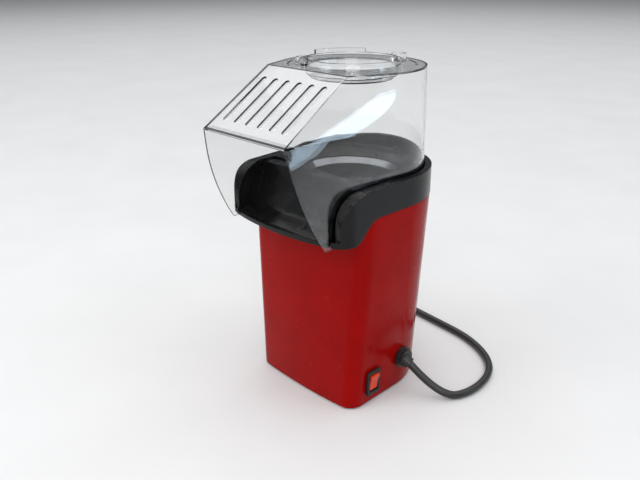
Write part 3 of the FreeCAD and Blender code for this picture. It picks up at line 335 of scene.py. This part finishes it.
def merged_faces(node, flatness):
    """The node's mesh with its triangles merged into plain faces."""
    bm = bmesh.new()
    bm.from_mesh(nodes[node].data)
    bmesh.ops.remove_doubles(bm, verts=bm.verts, dist=0.000004)
    bmesh.ops.dissolve_limit(bm, angle_limit=math.radians(flatness), verts=bm.verts, edges=bm.edges,
                             use_dissolve_boundaries=False)
    return bm


def rounded(node, body, slot, width, segments=3, sharp=32, flatness=0.6):
    """A copy of a node with its hard edges rounded, standing for it."""
    piece = new_piece(f"{node}_rounded", merged_faces(node, flatness), slot, body)
    bevel = piece.modifiers.new("rounding", "BEVEL")
    bevel.width = width
    bevel.segments = segments
    bevel.limit_method = "ANGLE"
    bevel.angle_limit = math.radians(sharp)
    bpy.context.view_layer.update()
    shaped = bpy.data.meshes.new_from_object(piece.evaluated_get(bpy.context.evaluated_depsgraph_get()))
    piece.modifiers.clear()
    old = piece.data
    piece.data = shaped
    bpy.data.meshes.remove(old)
    shaped.shade_smooth()
    shaped.set_sharp_from_angle(angle=math.radians(40))
    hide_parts(node)
    return piece


# --- lock marks on the hood ------------------------------------------------------------------------
def around(radius, degrees, level):
    """Point at a radius round the upright axis."""
    angle = math.radians(degrees)
    return (AXIS.x + radius * math.cos(angle), AXIS.y + radius * math.sin(angle), level)


def raised_arc(bm, radius, half_width, start, end, base, top, steps=10):
    """Closed low rib along an arc round the upright axis."""
    rings = []
    for index in range(steps + 1):
        degrees = start + (end - start) * index / steps
        section = [(radius - half_width, base), (radius + half_width, base),
                   (radius + half_width * 0.6, top), (radius - half_width * 0.6, top)]
        rings.append([bm.verts.new(around(reach, degrees, level)) for reach, level in section])
    for before, after in zip(rings, rings[1:]):
        for side in range(4):
            bm.faces.new((before[side], before[side - 3], after[side - 3], after[side]))
    bm.faces.new(reversed(rings[0]))
    bm.faces.new(rings[-1])


def lock_marks():
    """A dot and two short arcs on the flat top, which show where the cup turns to lock."""
    flat_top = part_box("hood")[1][2]
    reach, rise = 0.0500, 0.0003
    bm = bmesh.new()
    for start, end in ((45, 65), (205, 235)):
        raised_arc(bm, reach, 0.0005, start, end, flat_top - rise, flat_top + rise)
    dot = bmesh.ops.create_uvsphere(bm, u_segments=24, v_segments=12, radius=0.0013)["verts"]
    bmesh.ops.scale(bm, verts=dot, vec=(1.0, 1.0, 0.35))
    bmesh.ops.translate(bm, verts=dot, vec=around(reach, 35, flat_top))
    bmesh.ops.recalc_face_normals(bm, faces=bm.faces)
    marks = new_piece("lock_marks", bm, "black_plastic", "hood")
    marks.data.shade_smooth()
    marks.data.set_sharp_from_angle(angle=SHARP_EDGE)


# --- mains cord -------------------------------------------------------------------------------------
CORD = 0.0065
FLOOR = CORD / 2 + 0.00005
COIL = Vector((-0.090, 0.104, 0.0))
GLAND_START = Vector((0.0615, 0.02585, 0.0284))
GLAND_AIM = Vector((0.76, 0.254, -0.599)).normalized()


def coil_points():
    """Three turns: one outside and one inside on the floor, and one on top of both."""
    outer, inner, top = 0.0394, 0.0326, 0.0360
    # (turned so far in degrees, radius, height); between two of these the turn runs evenly
    stations = [(0, outer, FLOOR), (285, outer, FLOOR), (350, inner, FLOOR), (615, inner, FLOOR),
                (660, inner, 0.0100), (735, top, 0.0092), (980, top, 0.0092), (1025, outer, 0.0102),
                (1062, outer + 0.0016, 0.0102), (1080, outer + 0.0034, 0.0102)]
    per_turn = 18
    widen = 1 / (0.75 + 0.25 * math.cos(math.tau / per_turn))
    points = []
    for index in range(3 * per_turn + 1):
        turned = index * 360 / per_turn
        for (begin, r0, z0), (end, r1, z1) in zip(stations, stations[1:]):
            if begin <= turned <= end:
                share = (turned - begin) / (end - begin)
                break
        radius = (r0 + (r1 - r0) * share) * widen
        angle = math.radians(90 + turned)
        points.append((COIL.x + radius * math.cos(angle), COIL.y + radius * math.sin(angle),
                       z0 + (z1 - z0) * share))
    return points


def make_cord():
    """The lead: out of its knob, down, in a loose loop round the back to the tied coil and the plug."""
    leave = GLAND_START + GLAND_AIM * 0.007
    top = COIL.y + 0.036
    route = [tuple(leave), (0.0980, 0.0305, FLOOR), (0.1125, 0.0590, FLOOR), (0.1045, 0.102, FLOOR),
             (0.065, 0.129, FLOOR), (0.010, 0.135, FLOOR), (-0.040, 0.1405, FLOOR), (-0.070, 0.1434, FLOOR)]
    tail = [(-0.106, top + 0.005, 0.0108), (-0.116, top + 0.001, 0.0112), (-0.122, top, 0.0124),
            (-0.128, top, 0.0124)]
    points = route + coil_points() + tail
    data = bpy.data.curves.new("mains_lead", "CURVE")
    data.dimensions = "3D"
    data.bevel_depth = CORD / 2
    data.bevel_resolution = 5
    data.resolution_u = 10
    data.use_fill_caps = True
    spline = data.splines.new("NURBS")
    spline.points.add(len(points) - 1)
    for point, place in zip(spline.points, points):
        point.co = (*place, 1.0)
    spline.order_u = 3
    spline.use_endpoint_u = True
    cord = bpy.data.objects.new("mains_lead", data)
    bpy.context.scene.collection.objects.link(cord)
    data.materials.append(MATERIALS["cord_black"])
    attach(cord, "body")
    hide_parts("mains_cord", "cord_coil")


# --- studio -----------------------------------------------------------------------------------------
def area_light(name, location, target, size, power, color=(1.0, 1.0, 1.0), size_y=None):
    """Soft box aimed at a point."""
    data = bpy.data.lights.new(name, "AREA")
    data.shape = "RECTANGLE"
    data.size = size
    data.size_y = size_y or size
    data.energy = power
    data.color = color
    lamp = bpy.data.objects.new(name, data)
    lamp.location = location
    lamp.rotation_euler = (Vector(target) - Vector(location)).to_track_quat("-Z", "Y").to_euler()
    lamp.visible_camera = False
    bpy.context.scene.collection.objects.link(lamp)


def window_card():
    """Pale blue card upright to the right, seen only in reflections, like a lit window."""
    bm = bmesh.new()
    corners = [(0.34, 0.15), (0.56, 0.18), (0.60, 0.30), (0.55, 0.54), (0.33, 0.30)]
    bm.faces.new([bm.verts.new((0.9, back, up)) for back, up in reversed(corners)])
    data = bpy.data.meshes.new("window_card")
    bm.to_mesh(data)
    bm.free()
    card = bpy.data.objects.new("window_card", data)
    bpy.context.scene.collection.objects.link(card)
    g = Graph("window glow", (0.0, 0.0, 0.0), 1.0)
    g.shader.inputs["Emission Color"].default_value = (0.66, 0.84, 1.0, 1.0)
    g.link(g.remap(g.noise(7, 2.0), 0.3, 0.7, 4.0, 6.5), "Emission Strength")
    data.materials.append(g.material)
    card.visible_camera = False
    card.visible_shadow = False


def make_studio():
    """Pale floor, pale surroundings and soft boxes."""
    floor_mesh = bpy.data.meshes.new("floor")
    bm = bmesh.new()
    bmesh.ops.create_grid(bm, x_segments=8, y_segments=8, size=14.0)
    bm.to_mesh(floor_mesh)
    bm.free()
    floor = bpy.data.objects.new("floor", floor_mesh)
    floor.location.z = -0.0002
    bpy.context.scene.collection.objects.link(floor)
    g = Graph("pale floor", (0.74, 0.74, 0.74), 0.6).mottle(0.02, 6)
    g.smudge(0.05, 20)
    g.bump(g.noise(500, 3.0), 0.00004)
    floor.data.materials.append(g.material)

    world = bpy.data.worlds.new("studio")
    bpy.context.scene.world = world
    world.use_nodes = True
    background = world.node_tree.nodes["Background"]
    background.inputs["Color"].default_value = (0.86, 0.9, 0.95, 1.0)
    background.inputs["Strength"].default_value = 0.2
    bpy.context.scene.view_settings.view_transform = "Standard"

    area_light("ceiling", (0.0, 0.0, 3.2), (0.0, 0.0, 0.0), 8.0, 270)
    window_card()
    area_light("front box", (-0.55, -1.3, 0.75), (0.0, -0.05, 0.17), 0.8, 6, (0.95, 0.98, 1.0))
    area_light("camera side", (1.2, -1.2, 0.8), (0.0, 0.0, 0.12), 1.0, 9, (1.0, 0.98, 0.95))


make_camera()
make_cord()
paint_nodes()
make_studio()

rounded("body_shell", "body", "body_red", BODY_ROUNDING)
lock_marks()
